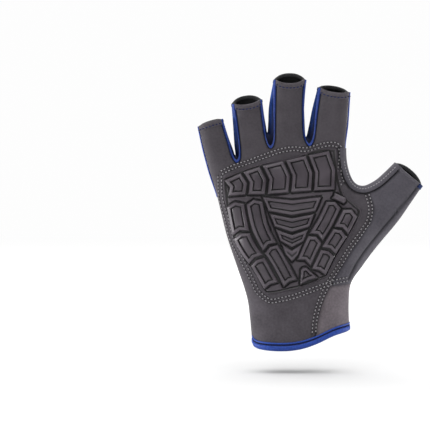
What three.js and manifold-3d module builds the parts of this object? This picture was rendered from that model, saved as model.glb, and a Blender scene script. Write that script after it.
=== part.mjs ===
// Half-finger rugby glove for the right hand, standing on its cuff edge with the fingers up.
// x runs across the hand towards the thumb, y from the palm to the back, z upwards, in mm.
// The palm faces -y and the origin is the middle of the wrist opening.
import * as THREE from 'three';
import { mergeVertices } from 'three/addons/utils/BufferGeometryUtils.js';
import Module from 'manifold-3d';

const wasm = await Module();
wasm.setup();

// Cloth and seams
const wallThickness = 2;
const seamGap = 0.3;

// Half thickness of the worn glove, from its middle surface to the palm face or the back face
const palmDepth = { front: 15, back: 14 };
const cuffDepth = { front: 17, back: 16.5 };
const digitDepth = { front: 8.6, back: 8.2 };

// How far in from the outline the sides are rounded, and how full that rounding is
const sideRound = { palm: 26, digit: 11.8, littleLess: 2.3 };
const fullness = 2.25;

// The thumb leans out from a point in the palm, and the digits bend towards the palm
const thumb = { rootX: 30, rootZ: 60, lean: (49.5 * Math.PI) / 180, forward: 11 };
const fingerCurl = { startZ: 120, span: 85, power: 1.6, forward: 8 };

// Where one region passes into the next: the place it starts and the length it takes
const passes = {
  fingers: { from: 112, over: 36 },
  cuff: { from: 48, over: -40 },
  thumb: { from: 22, over: 44 },
  thumbBend: { from: 12, over: 76 },
  thumbHalf: { from: 8, over: 55 },
  littleFinger: { from: -47, over: -13 },
};

// Soft mounds and the hollow of the palm: centre, radius and height
const mounds = [
  { name: 'ball of the thumb', x: 36, z: 74, radius: 23, height: 4.5 },
  { name: 'heel', x: -38, z: 70, radius: 22, height: 2.5 },
  { name: 'hollow', x: -4, z: 98, radius: 20, height: -2 },
];

// How far a panel is pulled back from a seam that it meets
const seamPull = { thumb: 0.9 * seamGap, gusset: 1.7 * seamGap };

// Outline of the glove as [x, z], walked with the glove on the right-hand side
const outline = {
  littleSide: [[-38, -3.7], [-39.6, 14], [-42.2, 32], [-50.1, 56], [-58, 80], [-65.4, 110],
    [-71.9, 132], [-76.4, 149], [-79.9, 165.4]],
  littleRing: [[-60.8, 171.2], [-56.7, 158], [-53.1, 148.5], [-51.1, 143.1], [-51.9, 151],
    [-53, 167], [-54.2, 182.7]],
  ringMiddle: [[-30.1, 186.2], [-28.4, 174], [-26.9, 165.5], [-26, 161], [-25.4, 168.5],
    [-24.8, 182], [-21.4, 201.2]],
  middleIndex: [[4.3, 201.2], [2.9, 185], [3.3, 170], [4.3, 157.6], [6.6, 166.5], [9, 179],
    [13.1, 195.6]],
  thumbWeb: [[37.3, 191.4], [36.2, 169], [34.8, 148], [36.3, 133], [41, 121.7], [48.5, 118.2],
    [57.4, 121.9], [65, 128.4], [72.9, 136.3]],
  thumbSide: [[94.3, 118.3], [87, 107.4], [79.7, 96.2], [75.9, 90.7], [71.2, 84.6], [59.5, 70.2],
    [48.7, 55.4], [40, 42], [38.3, 25], [38.9, 6.4]],
};

// Front edges of the gussets between the fingers: they run deeper than the outline does.
const gussetEdge = {
  littleRing: [[-62.5, 170.6], [-57.2, 153], [-53.6, 141.5], [-49.9, 136.8], [-47.2, 141.5],
    [-48.4, 157], [-51.9, 182.2]],
  ringMiddle: [[-32, 185.5], [-30.2, 171], [-27.4, 154.5], [-23.7, 147.9], [-20.7, 154],
    [-20.2, 176], [-19.8, 200.8]],
  middleIndex: [[2.6, 201.1], [1.4, 182], [2.5, 158], [6.7, 149.7], [10.3, 156], [12.4, 174],
    [15.2, 194.6]],
};

// The thumb seam, from the cuff edge over the wrist seam to the thumb web
const thumbSeam = [[10.6, -4.5], [11.8, 9.5], [15.6, 25], [22.4, 40.6], [34, 60.8],
  [46.4, 80.5], [55.3, 97], [53.4, 107.8], [48.5, 118.2]];

// Lines in the palm from the cuff edge to each crotch: place at the cuff, at the wrist, halfway
const palmLines = {
  littleRing: [[-25, -9.3], [-26.5, 30], [-39.5, 88]],
  ringMiddle: [[-12.5, -9.4], [-12, 31.2], [-18, 92]],
  middleIndex: [[-0.5, -8.4], [2.5, 34.5], [4.5, 94]],
};

// Points of the cuff edge: it dips in a curve on the palm side, and is straight on the back
const cuffEdge = {
  front: [[-38, -3.6], [-33.4, -7.4], [-16.4, -8.7], [-2, -7.4], [10.7, -3.5], [23.3, 2.3],
    [31, 4.8], [38.9, 6.5]],
  back: [[-38, -3.6], [38.9, 6.5]],
};

// Each digit's end: how far the palm side and the back bulge out past the line between its corners
const ends = {
  little: { front: 0.2, back: 1.5 },
  ring: { front: -2.3, back: 4.8 },
  middle: { front: -3.3, back: 5.4 },
  index: { front: -2.7, back: 3 },
  thumb: { front: -1.2, back: 4.2 },
};
const endFullness = 2.6;

// Laid on top: how far each piece stands above the cloth, and how wide it is
const pad = { sheet: 1.3, block: 3, groove: 1.4 };
const binding = { width: 5.6, overhang: 0.8, thickness: 1.5 };
const hem = { width: 4.7, thickness: 1.2 };
const piping = { width: 1.2, thickness: 0.9 };
const rim = { width: 2.2, overhang: 0.5, thickness: 0.9 };

// Edge of the moulded pad's sheet
const padEdge = {
  left: [[-28.6, 37.6], [-37.1, 52.5], [-46, 64.5], [-52.4, 77], [-55.3, 90], [-58.4, 104],
    [-60.6, 124.5]],
  right: [[19, 48.4], [27.5, 65.5], [36.6, 80.6], [45.8, 97.5], [41.5, 103.5], [33.6, 110.5],
    [30.5, 119], [28.6, 130], [27, 147.6]],
  bottom: [[-28.6, 37.6], [-24, 34.9], [-11, 37.2], [4.4, 41.5], [19, 48.4]],
  top: [[-60.6, 124.5], [-44.7, 131.3], [-29.4, 136.3], [-14, 138.6], [-2, 142], [12.8, 147.4],
    [27, 147.6]],
};

// Rows of raised blocks on the pad: the line that each follows, its widths at both ends, how far its
// cuts run ahead in the middle at both ends, and the cuts as shares of its length
const padRows = [
  { name: 'thumb side', line: [[12.6, 51], [21.2, 69.2], [30.2, 84], [37.6, 98.2]], widths: [12, 12.6],
    tips: [1.5, 3], cuts: [0, 0.34, 0.68, 1] },
  { name: 'ball of the thumb', line: [[1.3, 58], [9.6, 75.9], [18.4, 90.7], [25, 104.4]],
    widths: [12, 12.4], tips: [2.5, 3], cuts: [0, 0.42, 1] },
  { name: 'heel side', line: [[-22.8, 40.4], [-32.3, 57.8], [-40.6, 70], [-46.2, 82.4], [-50.6, 104.4]],
    widths: [12.2, 13.4], tips: [1.5, 3], cuts: [0, 0.33, 0.66, 1] },
  { name: 'heel', line: [[-8.2, 42.4], [-18.4, 61.4], [-27, 75.2], [-32.7, 88], [-36.6, 106]],
    widths: [12, 13.2], tips: [1.5, 3], cuts: [0, 0.46, 1] },
  { name: 'hollow', line: [[-7.6, 64.8], [-7.4, 90], [-7.4, 111]], widths: [9.4, 46.6],
    tips: [-6, -2.5], cuts: [0, 0.22, 0.46, 0.72, 1] },
  { name: 'wrist', line: [[6, 43.8], [1.2, 55.4]], widths: [16, 4.4], tips: [1, 1], cuts: [0, 1] },
  { name: 'little and ring finger', line: [[-58.7, 116.6], [-44, 120.2], [-29.6, 122.9]],
    widths: [12.8, 23], tips: [3, 3.5], cuts: [0, 0.5, 1] },
  { name: 'middle and index finger', line: [[-29.4, 122.9], [-2, 127.3], [24.2, 130.8]],
    widths: [23, 31], tips: [3.5, 3], cuts: [0, 0.34, 0.67, 1] },
  { name: 'web', line: [[23.4, 111.6], [34.2, 106.3]], widths: [5, 5],
    tips: [1, 1], cuts: [0, 0.5, 1] },
];

// Colours, as they look in plain light
const colours = {
  knit: 0x4b494c, back: 0x44454c, pad: 0x353336, blue: 0x27439a, black: 0x1b1b1d,
};

// Grid steps along the glove in each zone, and across each strip
const steps = { cuff: 4, palm: 9, toWeb: 6, digit: 8, across: 6 };

const mix = (a, b, t) => a + (b - a) * t;
const clamp = (t) => Math.min(Math.max(t, 0), 1);
const smooth = (t) => clamp(t) ** 2 * (3 - 2 * clamp(t));
const passed = (region, place) => smooth((place - passes[region].from) / passes[region].over);

// Points of a smooth curve through the given points, between two of them
function along(points, from, to, count) {
  const curve = new THREE.SplineCurve(points.map(([x, z]) => new THREE.Vector2(x, z)));
  return Array.from({ length: count + 1 }, (_, i) => {
    const knot = from + ((to - from) * i) / count;
    const { x, y } = curve.getPoint(clamp(knot / (points.length - 1)));
    return [x, y];
  });
}

// The outline as short straight segments, each carried on past its open ends
const segments = [];
for (const points of Object.values(outline)) {
  const carryOn = 14;
  const fine = along(points, 0, points.length - 1, (points.length - 1) * 8);
  const extend = (end, next) => {
    const length = Math.hypot(end[0] - next[0], end[1] - next[1]);
    return end.map((value, i) => value + ((value - next[i]) * carryOn) / length);
  };
  const line = [extend(fine[0], fine[1]), ...fine, extend(fine.at(-1), fine.at(-2))];
  for (let i = 0; i + 1 < line.length; i += 1) {
    const [ax, az] = line[i];
    const [bx, bz] = line[i + 1];
    const length = Math.hypot(bx - ax, bz - az);
    segments.push({ ax, az, dx: (bx - ax) / length, dz: (bz - az) / length, length });
  }
}

// Distance in from the outline, and the direction that leads away from it
const onTheLine = 0.3;
function nearest(x, z) {
  let best = { distance: Infinity };
  for (const s of segments) {
    const t = Math.min(Math.max((x - s.ax) * s.dx + (z - s.az) * s.dz, 0), s.length);
    const offX = x - s.ax - s.dx * t;
    const offZ = z - s.az - s.dz * t;
    const distance = Math.hypot(offX, offZ);
    if (distance < best.distance) best = { distance, offX, offZ, s };
  }
  const { distance, offX, offZ, s } = best;
  if (distance > onTheLine) return { distance, dirX: offX / distance, dirZ: offZ / distance };
  return { distance, dirX: s.dz, dirZ: -s.dx };
}

const alongThumb = (x, z) =>
  (x - thumb.rootX) * Math.cos(thumb.lean) + (z - thumb.rootZ) * Math.sin(thumb.lean);

// 0 in the palm, 1 out on a finger or the thumb
const onDigit = (x, z) => 1 - (1 - passed('fingers', z)) * (1 - passed('thumb', alongThumb(x, z)));

// Depth of the glove's middle surface: straight in the cuff, bent forward at the finger ends
function middle(x, z) {
  const curl = fingerCurl.forward * clamp((z - fingerCurl.startZ) / fingerCurl.span) ** fingerCurl.power;
  const reach = passed('thumbBend', alongThumb(x, z)) * passed('thumbHalf', x);
  return -curl - thumb.forward * reach;
}

function halfDepth(x, z, side) {
  const palm = mix(palmDepth[side], cuffDepth[side], passed('cuff', z));
  let depth = mix(palm, digitDepth[side], onDigit(x, z));
  if (side === 'back') return depth;
  for (const m of mounds) {
    depth += m.height * Math.exp(-((x - m.x) ** 2 + (z - m.z) ** 2) / m.radius ** 2);
  }
  return depth;
}

function roundWidth(x, z) {
  const digit = onDigit(x, z);
  const less = sideRound.littleLess * digit * passed('littleFinger', x);
  return mix(sideRound.palm, sideRound.digit, digit) - less;
}

// A point of the glove's outer face under [x, z], moved out by lift at right angles to the face
function onGlove([x, z], side, lift, fromSeam) {
  const sign = side === 'front' ? -1 : 1;
  const { distance, dirX, dirZ } = nearest(x, z);
  const round = roundWidth(x, z);
  const depth = halfDepth(x, z, side);
  const left = 1 - Math.min(distance / round, 1);
  const level = (1 - left ** fullness) ** (1 / fullness);
  const sideways = (depth / round) * left ** (fullness - 1);
  const outwards = level ** (fullness - 1);
  const length = Math.hypot(sideways, outwards);
  const push = (sideways / length) * lift;
  const y = middle(x, z) + sign * (depth * level + fromSeam + (outwards / length) * lift);
  return [x - dirX * push, y, z - dirZ * push];
}

// Grids in the flat become one flat net, with shared edges joined
const offGrid = 0.00123;
function net(grids) {
  const points = [];
  const known = new Map();
  const quads = [];
  for (const grid of grids) {
    const ids = grid.map((row) => row.map(([x, z]) => {
      const key = [x, z].map((value) => (value + offGrid).toFixed(2)).join(' ');
      if (!known.has(key)) known.set(key, points.push([x, z]) - 1);
      return known.get(key);
    }));
    for (let r = 0; r + 1 < ids.length; r += 1) {
      for (let c = 0; c + 1 < ids[r].length; c += 1) {
        quads.push([ids[r][c], ids[r][c + 1], ids[r + 1][c + 1], ids[r + 1][c]]);
      }
    }
  }
  return { points, quads };
}

// A flat net laid on the glove and given a thickness, from low to high above the outer face
function thicken({ points, quads }, side, low, high, fromSeam = seamGap / 2) {
  const count = points.length;
  const vertices = [high, low].flatMap((lift) => points.flatMap((p) => onGlove(p, side, lift, fromSeam)));
  const triangles = [];
  const edges = new Map();
  for (const [a, b, c, d] of quads) {
    for (const [p, q, r] of [[a, b, c], [a, c, d]]) {
      if (p === q || q === r || r === p) continue;
      triangles.push(p, q, r, count + r, count + q, count + p);
      for (const [m, n] of [[p, q], [q, r], [r, p]]) {
        if (!edges.delete(`${n} ${m}`)) edges.set(`${m} ${n}`, [m, n]);
      }
    }
  }
  for (const [m, n] of edges.values()) {
    if (points[m][1] < points[n][1]) triangles.push(n, m, count + n, m, count + m, count + n);
    else triangles.push(n, m, count + m, n, count + m, count + n);
  }
  if (side === 'back') {
    for (let i = 0; i < triangles.length; i += 3) {
      triangles.splice(i, 3, ...triangles.slice(i, i + 3).reverse());
    }
  }
  return new wasm.Manifold(new wasm.Mesh({
    numProp: 3,
    vertProperties: new Float32Array(vertices),
    triVerts: new Uint32Array(triangles),
  }));
}

// Places of the columns across a strip: closer together at a side that curves away
function columnPlaces(leftCurved, rightCurved) {
  return Array.from({ length: steps.across + 1 }, (_, i) => {
    const u = i / steps.across;
    const both = (1 - Math.cos(Math.PI * u)) / 2;
    const onlyLeft = 1 - Math.cos((Math.PI / 2) * u);
    const onlyRight = Math.sin((Math.PI / 2) * u);
    return mix(mix(u, onlyRight, rightCurved), mix(onlyLeft, both, rightCurved), leftCurved);
  });
}

// Height of the cuff edge at x, on the curve through its points
const edgeLines = Object.fromEntries(Object.entries(cuffEdge).map(([side, points]) =>
  [side, along(points, 0, points.length - 1, (points.length - 1) * 8)]));
function edgeHeight(x, side) {
  const table = edgeLines[side];
  const last = table.length - 2;
  const at = Math.min(Math.max(table.findIndex((p) => p[0] >= x) - 1, 0), last);
  const i = x > table.at(-1)[0] ? last : at;
  return mix(table[i][1], table[i + 1][1], (x - table[i][0]) / (table[i + 1][0] - table[i][0]));
}

// One digit's strip of the glove, from the cuff edge to its end: rows of [x, z] between two lines
function strip(name, side) {
  const { left, right, outerLeft, outerRight } = strips(side)[name];
  const wrist = steps.cuff;
  const crotch = left.length - 1 - steps.digit;
  return left.map((from, row) => {
    const to = right[row];
    const near = clamp(((row - wrist) / (crotch - wrist) - 0.5) * 2);
    const places = columnPlaces(outerLeft ? 1 : near, outerRight ? 1 : near);
    const inCuff = 1 - clamp(row / wrist);
    const out = ends[name][side] * clamp((row - crotch) / steps.digit) ** 2;
    const width = Math.hypot(to[0] - from[0], to[1] - from[1]);
    return places.map((u) => {
      const x = mix(from[0], to[0], u);
      const z = mix(from[1], to[1], u);
      const edge = edgeHeight(mix(left[0][0], right[0][0], u), side);
      const drop = (edge - mix(left[0][1], right[0][1], u)) * inCuff;
      const bulge = out * (1 - Math.abs(2 * u - 1) ** endFullness);
      return [x - ((to[1] - from[1]) / width) * bulge, z + drop + ((to[0] - from[0]) / width) * bulge];
    });
  });
}

// The two side lines of every strip, row by row
function strips(side) {
  const joined = (...parts) => parts.flatMap((part, i) => (i ? part.slice(1) : part));
  const palmLine = (name, crotch) => {
    const points = [...palmLines[name], crotch];
    return joined(along(points, 0, 1, steps.cuff), along(points, 1, 3, steps.palm));
  };
  const crotches = side === 'front' ? gussetEdge : outline;
  const toCrotch = {};
  const upLeft = {};
  const upRight = {};
  for (const name of Object.keys(palmLines)) {
    const line = crotches[name];
    toCrotch[name] = palmLine(name, line[3]);
    upLeft[name] = along(line, 3, 0, steps.digit);
    upRight[name] = along(line, 3, 6, steps.digit);
  }
  const { littleSide, thumbWeb, thumbSide } = outline;
  const littleOuter = joined(along(littleSide, 0, 2, steps.cuff), along(littleSide, 2, 6, steps.palm),
    along(littleSide, 6, 8, steps.digit));
  const thumbOuter = joined(along(thumbSide, 9, 7, steps.cuff), along(thumbSide, 7, 2, steps.toWeb),
    along(thumbSide, 2, 0, steps.digit));
  const seam = joined(along(thumbSeam, 0, 3, steps.cuff), along(thumbSeam, 3, 8, steps.toWeb));
  const aside = side === 'front' ? seamPull.thumb : 0;
  const seamAt = (shift) => seam.map(([x, z]) => [x + shift, z]);
  return {
    little: { left: littleOuter, right: joined(toCrotch.littleRing, upLeft.littleRing), outerLeft: true },
    ring: {
      left: joined(toCrotch.littleRing, upRight.littleRing),
      right: joined(toCrotch.ringMiddle, upLeft.ringMiddle),
    },
    middle: {
      left: joined(toCrotch.ringMiddle, upRight.ringMiddle),
      right: joined(toCrotch.middleIndex, upLeft.middleIndex),
    },
    index: {
      left: joined(toCrotch.middleIndex, upRight.middleIndex),
      right: joined(seamAt(-aside), along(thumbWeb, 5, 2.5, steps.palm - steps.toWeb),
        along(thumbWeb, 2.5, 0, steps.digit)),
    },
    thumb: {
      left: joined(seamAt(aside), along(thumbWeb, 5, 8, steps.digit)),
      right: thumbOuter,
      outerRight: true,
    },
  };
}

// The largest body of a solid, without the crumbs that a cut can leave
function largest(solid) {
  return solid.decompose().reduce((a, b) => (b.volume() > a.volume() ? b : a));
}

function toGeometry(solid) {
  const { vertProperties, triVerts } = solid.getMesh();
  const geometry = new THREE.BufferGeometry();
  geometry.setAttribute('position', new THREE.BufferAttribute(vertProperties, 3));
  geometry.setIndex(new THREE.BufferAttribute(triVerts, 1));
  return geometry;
}

// A solid without vertices closer together than a few thousandths of a millimetre
function cleaned(solid) {
  const weldDistance = 0.004;
  const merged = mergeVertices(toGeometry(solid.simplify(weldDistance * 4)), weldDistance);
  return new wasm.Manifold(new wasm.Mesh({
    numProp: 3,
    vertProperties: merged.attributes.position.array,
    triVerts: new Uint32Array(merged.index.array),
  }));
}

const glove = new THREE.Group();
glove.name = 'glove';

function addPiece(name, solid, colour, roughness) {
  const material = new THREE.MeshStandardMaterial({ color: colour, roughness, metalness: 0 });
  const mesh = new THREE.Mesh(toGeometry(largest(cleaned(solid))), material);
  mesh.name = name;
  glove.add(mesh);
}

// Back: one panel of neoprene from the cuff edge to all five digit ends
const digits = Object.keys(ends);
const backNet = net(digits.map((name) => strip(name, 'back')));
addPiece('back_panel', thicken(backNet, 'back', -wallThickness, 0), colours.back, 0.9);

// Palm side: one knit panel with four finger fronts, under the moulded pad and down to the cuff
const front = Object.fromEntries(digits.map((name) => [name, strip(name, 'front')]));
const palmNet = net([front.little, front.ring, front.middle, front.index]);
addPiece('palm_panel', thicken(palmNet, 'front', -wallThickness, 0), colours.knit, 0.9);

// Thumb and the side of the cuff: two panels that meet at the wrist seam
const thumbRows = front.thumb.slice(steps.cuff);
const cuffRows = front.thumb.slice(0, steps.cuff + 1);
const apart = (row, amount) => row.map(([x, z]) => [x, z + amount]);
thumbRows[0] = apart(thumbRows[0], seamGap / 2);
cuffRows[steps.cuff] = apart(cuffRows[steps.cuff], -seamGap / 2);
addPiece('thumb_panel', thicken(net([thumbRows]), 'front', -wallThickness, 0), colours.knit, 0.9);
addPiece('cuff_side_panel', thicken(net([cuffRows]), 'front', -wallThickness, 0), colours.knit, 0.9);

// Gussets: a blue strip down one finger's side, through the crotch and up the next finger's side
const gussetNodes = {
  littleRing: 'gusset_little_ring',
  ringMiddle: 'gusset_ring_middle',
  middleIndex: 'gusset_middle_index',
};
const gussetColumns = [0, 0.3, 0.65, 1];
const gussetNets = Object.entries(gussetNodes).map(([name, node]) => {
  const [outer, inner] = [outline[name], gussetEdge[name]].map((line) =>
    [...along(line, 0, 3, steps.digit), ...along(line, 3, 6, steps.digit).slice(1)]);
  const grid = outer.map((from, i) => {
    const to = inner[i];
    const reach = 1 - seamPull.gusset / Math.hypot(to[0] - from[0], to[1] - from[1]);
    return gussetColumns.map((u) => from.map((value, k) => mix(value, to[k], u * reach)));
  });
  const flat = net([grid]);
  addPiece(node, thicken(flat, 'front', -wallThickness, 0), colours.blue, 0.6);
  return flat;
});

// What lies on top keeps clear of the cloth: this covers it a seam gap deep
const clothCover = [palmNet, net([front.thumb]), ...gussetNets]
  .map((flat) => thicken(flat, 'front', -wallThickness, seamGap))
  .reduce((a, b) => a.add(b), thicken(backNet, 'back', -wallThickness, seamGap));
const underside = seamGap / 2;

function laidOn(flat, side, thickness) {
  return thicken(flat, side, underside, seamGap + thickness, seamGap * 2).subtract(clothCover);
}

// Moulded palm pad: a thin sheet with raised blocks, both found on a patch between four edges
const padSides = Object.fromEntries(Object.entries(padEdge).map(([name, points]) => {
  const curve = new THREE.SplineCurve(points.map(([x, z]) => new THREE.Vector2(x, z)));
  return [name, (t) => curve.getPointAt(clamp(t)).toArray()];
}));

function onPad(u, v) {
  const { left, right, bottom, top } = padSides;
  return [0, 1].map((k) => {
    const across = mix(left(v)[k], right(v)[k], u);
    const up = mix(bottom(u)[k], top(u)[k], v);
    const corners = mix(mix(bottom(0)[k], bottom(1)[k], u), mix(top(0)[k], top(1)[k], u), v);
    return across + up - corners;
  });
}

function padGrid(across, up, place) {
  return Array.from({ length: up + 1 }, (_, r) =>
    Array.from({ length: across + 1 }, (_, c) => place(c / across, r / up)));
}

// The sheet's columns are closer together on its left, where the palm curves away
const padSheet = thicken(net([padGrid(9, 11, (u, v) => onPad(u * mix(0.6, 1, u), v))]), 'front',
  underside, pad.sheet);

// A block's point at share s across its row, and at share t between two cuts
const blockNets = padRows.flatMap(({ line, widths, tips, cuts }) => {
  const curve = new THREE.SplineCurve(line.map(([x, z]) => new THREE.Vector2(x, z)));
  const apart = pad.groove / 2 / curve.getLength();
  return cuts.slice(1).map((to, i) => net([padGrid(2, 2, (s, t) => {
    const at = mix(cuts[i] + apart, to - apart, t);
    const point = curve.getPointAt(at);
    const way = curve.getTangentAt(at);
    const aside = (s - 0.5) * mix(...widths, at);
    const ahead = mix(...tips, at) * (1 - Math.abs(2 * s - 1));
    return [point.x + way.y * aside + way.x * ahead, point.y - way.x * aside + way.y * ahead];
  })]));
});
const moulded = blockNets.reduce((solid, flat) =>
  solid.add(thicken(flat, 'front', underside, pad.block)), padSheet);
addPiece('palm_pad', moulded.subtract(clothCover), colours.pad, 0.55);

// Ribbons laid along an edge: rows of points at the given distances from a line, on its glove side
function ribbon(line, distances) {
  return line.map(([x, z], i) => {
    const before = line[Math.max(i - 1, 0)];
    const after = line[Math.min(i + 1, line.length - 1)];
    const length = Math.hypot(after[0] - before[0], after[1] - before[1]);
    const normal = [(after[1] - before[1]) / length, -(after[0] - before[0]) / length];
    return distances.map((d) => [x + normal[0] * d, z + normal[1] * d]);
  });
}

// Turned hem round the thumb web, and the blue pipings on the two outer finger sides
const { thumbWeb, littleSide } = outline;
const hemLine = along(thumbWeb, 2, 8, 22);
const indexLine = along(thumbWeb, 0, 2, 8);
const littleLine = [...along(littleSide, 5, 6, 2), ...along(littleSide, 6, 8, 8).slice(1)];
const hemColumns = [0, 0.32, 0.64, 1].map((u) => u * hem.width);
const pipingColumns = [0, 0.5, 1].map((u) => u * piping.width);
addPiece('thumb_crotch_hem', laidOn(net([ribbon(hemLine, hemColumns)]), 'front', hem.thickness),
  colours.knit, 0.85);
for (const [name, line] of [['piping_index', indexLine], ['piping_little', littleLine]]) {
  addPiece(name, laidOn(net([ribbon(line, pipingColumns)]), 'front', piping.thickness),
    colours.blue, 0.6);
}

// Black rims on the back's digit ends, on the back's own columns
for (const name of digits) {
  const [before, last] = strip(name, 'back').slice(-2);
  const rows = [-rim.width, rim.overhang].map((out) => last.map((p, c) => {
    const length = Math.hypot(p[0] - before[c][0], p[1] - before[c][1]);
    return p.map((value, k) => value + ((value - before[c][k]) * out) / length);
  }));
  addPiece(`rim_${name}`, thicken(net([rows]), 'back', seamGap, seamGap + rim.thickness),
    colours.black, 0.8);
}

// Blue binding round the palm side of the cuff edge, on the front's own columns
const cuffPlaces = digits.flatMap((name, i) => front[name][0].slice(i ? 1 : 0).map(([x]) => x));
const bindingRows = [-binding.overhang, binding.width / 2, binding.width].map((up) =>
  cuffPlaces.map((x) => [x, edgeHeight(x, 'front') + up]));
addPiece('cuff_binding', thicken(net([bindingRows]), 'front', seamGap, seamGap + binding.thickness),
  colours.blue, 0.55);

export default glove;
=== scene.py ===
import math

import bpy
import numpy as np
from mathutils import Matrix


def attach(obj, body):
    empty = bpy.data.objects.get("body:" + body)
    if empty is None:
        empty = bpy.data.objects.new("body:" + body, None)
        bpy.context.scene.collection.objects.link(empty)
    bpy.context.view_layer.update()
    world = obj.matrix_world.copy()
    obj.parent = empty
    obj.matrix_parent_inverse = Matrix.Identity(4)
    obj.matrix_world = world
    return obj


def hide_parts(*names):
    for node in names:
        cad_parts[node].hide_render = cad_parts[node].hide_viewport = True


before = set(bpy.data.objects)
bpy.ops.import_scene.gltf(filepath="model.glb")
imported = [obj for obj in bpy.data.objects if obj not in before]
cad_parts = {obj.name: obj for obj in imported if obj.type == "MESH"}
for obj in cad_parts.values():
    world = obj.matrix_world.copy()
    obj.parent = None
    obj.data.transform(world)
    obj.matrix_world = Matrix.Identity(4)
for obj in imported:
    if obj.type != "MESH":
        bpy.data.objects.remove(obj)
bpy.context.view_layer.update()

# Back panel
# The whole back is one piece of foam rubber, faced outside with blue-grey knit and inside with black
# stretch cloth. It is cut to the outline, sewn to the palm side along it, and takes the shape of the
# hand. Sizes are in millimetres: x runs to the thumb, y from palm to back, z up to the fingertips.
millimetre = 0.001
wall = 2.0
seam_gap = 0.06
outline = {
    "little_side": [(-38, -3.7), (-39.6, 14), (-42.2, 32), (-50.1, 56), (-58, 80), (-65.4, 110),
                    (-71.9, 132), (-76.4, 149), (-79.9, 165.4)],
    "little_ring": [(-60.8, 171.2), (-56.7, 158), (-53.1, 148.5), (-51.1, 143.1), (-51.9, 151),
                    (-53, 167), (-54.2, 182.7)],
    "ring_middle": [(-30.1, 186.2), (-28.4, 174), (-26.9, 165.5), (-26, 161), (-25.4, 168.5),
                    (-24.8, 182), (-21.4, 201.2)],
    "middle_index": [(4.3, 201.2), (2.9, 185), (3.3, 170), (4.3, 157.6), (6.6, 166.5), (9, 179),
                     (13.1, 195.6)],
    "thumb_web": [(37.3, 191.4), (36.2, 169), (34.8, 148), (36.3, 133), (41, 121.7), (48.5, 118.2),
                  (57.4, 121.9), (65, 128.4), (72.9, 136.3)],
    "thumb_side": [(94.3, 118.3), (87, 107.4), (79.7, 96.2), (75.9, 90.7), (71.2, 84.6), (59.5, 70.2),
                   (48.7, 55.4), (40, 42), (38.3, 25), (38.9, 6.4)],
}
palm_lines = {
    "little_ring": [(-25, -9.3), (-26.5, 30), (-39.5, 88)],
    "ring_middle": [(-12.5, -9.4), (-12, 31.2), (-18, 92)],
    "middle_index": [(-0.5, -8.4), (2.5, 34.5), (4.5, 94)],
}
thumb_seam = [(10.6, -4.5), (11.8, 9.5), (15.6, 25), (22.4, 40.6), (34, 60.8), (46.4, 80.5),
              (55.3, 97), (53.4, 107.8), (48.5, 118.2)]
cuff_edge = {
    "front": [(-38, -3.6), (-33.4, -7.4), (-16.4, -8.7), (-2, -7.4), (10.7, -3.5), (23.3, 2.3),
              (31, 4.8), (38.9, 6.5)],
    "back": [(-38, -3.6), (38.9, 6.5)],
}
end_bulge = {
    "little": {"front": 0.2, "back": 1.5},
    "ring": {"front": -2.3, "back": 4.8},
    "middle": {"front": -3.3, "back": 5.4},
    "index": {"front": -2.7, "back": 3},
    "thumb": {"front": -1.2, "back": 4.2},
}
end_fullness = 2.6
creases = [([(-70, 128), (-62, 133), (-53, 131)], 0.5), ([(-49, 136), (-38, 143), (-27, 140)], 0.6),
           ([(-23, 150), (-10, 155), (3, 147)], 0.6), ([(8, 148), (20, 151), (33, 140)], 0.5),
           ([(44, 110), (52, 98), (66, 92)], 0.6), ([(36, 92), (46, 80), (58, 74)], 0.4),
           ([(-44, 24), (-20, 29), (10, 26)], 0.35)]
cuff_rows, palm_rows, web_rows, digit_rows, columns = 24, 78, 52, 32, 26


def curve(points, knots):
    """Points of a smooth curve. At knot k it passes point k, and between two points it is the cubic
    whose slope at each is half the step from the point before to the point after."""
    points = np.asarray(points, float)
    knots = np.clip(np.asarray(knots, float), 0, len(points) - 1)
    first = np.minimum(knots.astype(int), len(points) - 2)
    t = (knots - first)[:, None]
    a, b, c, d = (points[np.clip(first + step, 0, len(points) - 1)] for step in (-1, 0, 1, 2))
    slope_b, slope_c = (c - a) / 2, (d - b) / 2
    return ((2 * b - 2 * c + slope_b + slope_c) * t**3
            + (3 * c - 3 * b - 2 * slope_b - slope_c) * t**2 + slope_b * t + b)


def stretch(points, start, end, count):
    """The curve through points, from knot start to knot end in count even steps of the knot."""
    return curve(points, np.linspace(start, end, count + 1))


def joined(*parts):
    """Lines end to end, without the point that each shares with the one before."""
    return np.vstack([parts[0], *(part[1:] for part in parts[1:])])


def smooth(t):
    """0 below 0, 1 above 1, and three t squared less two t cubed between."""
    t = np.clip(t, 0, 1)
    return t * t * (3 - 2 * t)


def eased(value, start, length):
    """0 at start, 1 a length further on, and the smooth step between."""
    return smooth((value - start) / length)


def bell(distance, width):
    """1 at distance 0, dying away as e to the power of minus the square of distance over width."""
    return np.exp(-(distance / width) ** 2)


def mix(a, b, t):
    """a at t 0 and b at t 1, in a straight line."""
    return a + (b - a) * t


def straight_parts(line):
    """Start, unit direction and length of each straight part of a line."""
    step = np.diff(line, axis=0)
    length = np.hypot(*step.T)
    return list(zip(line[:-1], step / length[:, None], length))


def nearest(flat, parts):
    """For each point, its offset from the nearest of the straight parts, the distance, and the
    direction that lies to the right of that part."""
    best = np.full(len(flat), np.inf)
    offset, right = np.zeros_like(flat), np.zeros_like(flat)
    for start, way, length in parts:
        along = np.clip((flat - start) @ way, 0, length)
        away = flat - start - along[:, None] * way
        distance = np.hypot(*away.T)
        closer = distance < best
        best[closer], offset[closer] = distance[closer], away[closer]
        right[closer] = way[1], -way[0]
    return offset, best, right


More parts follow.
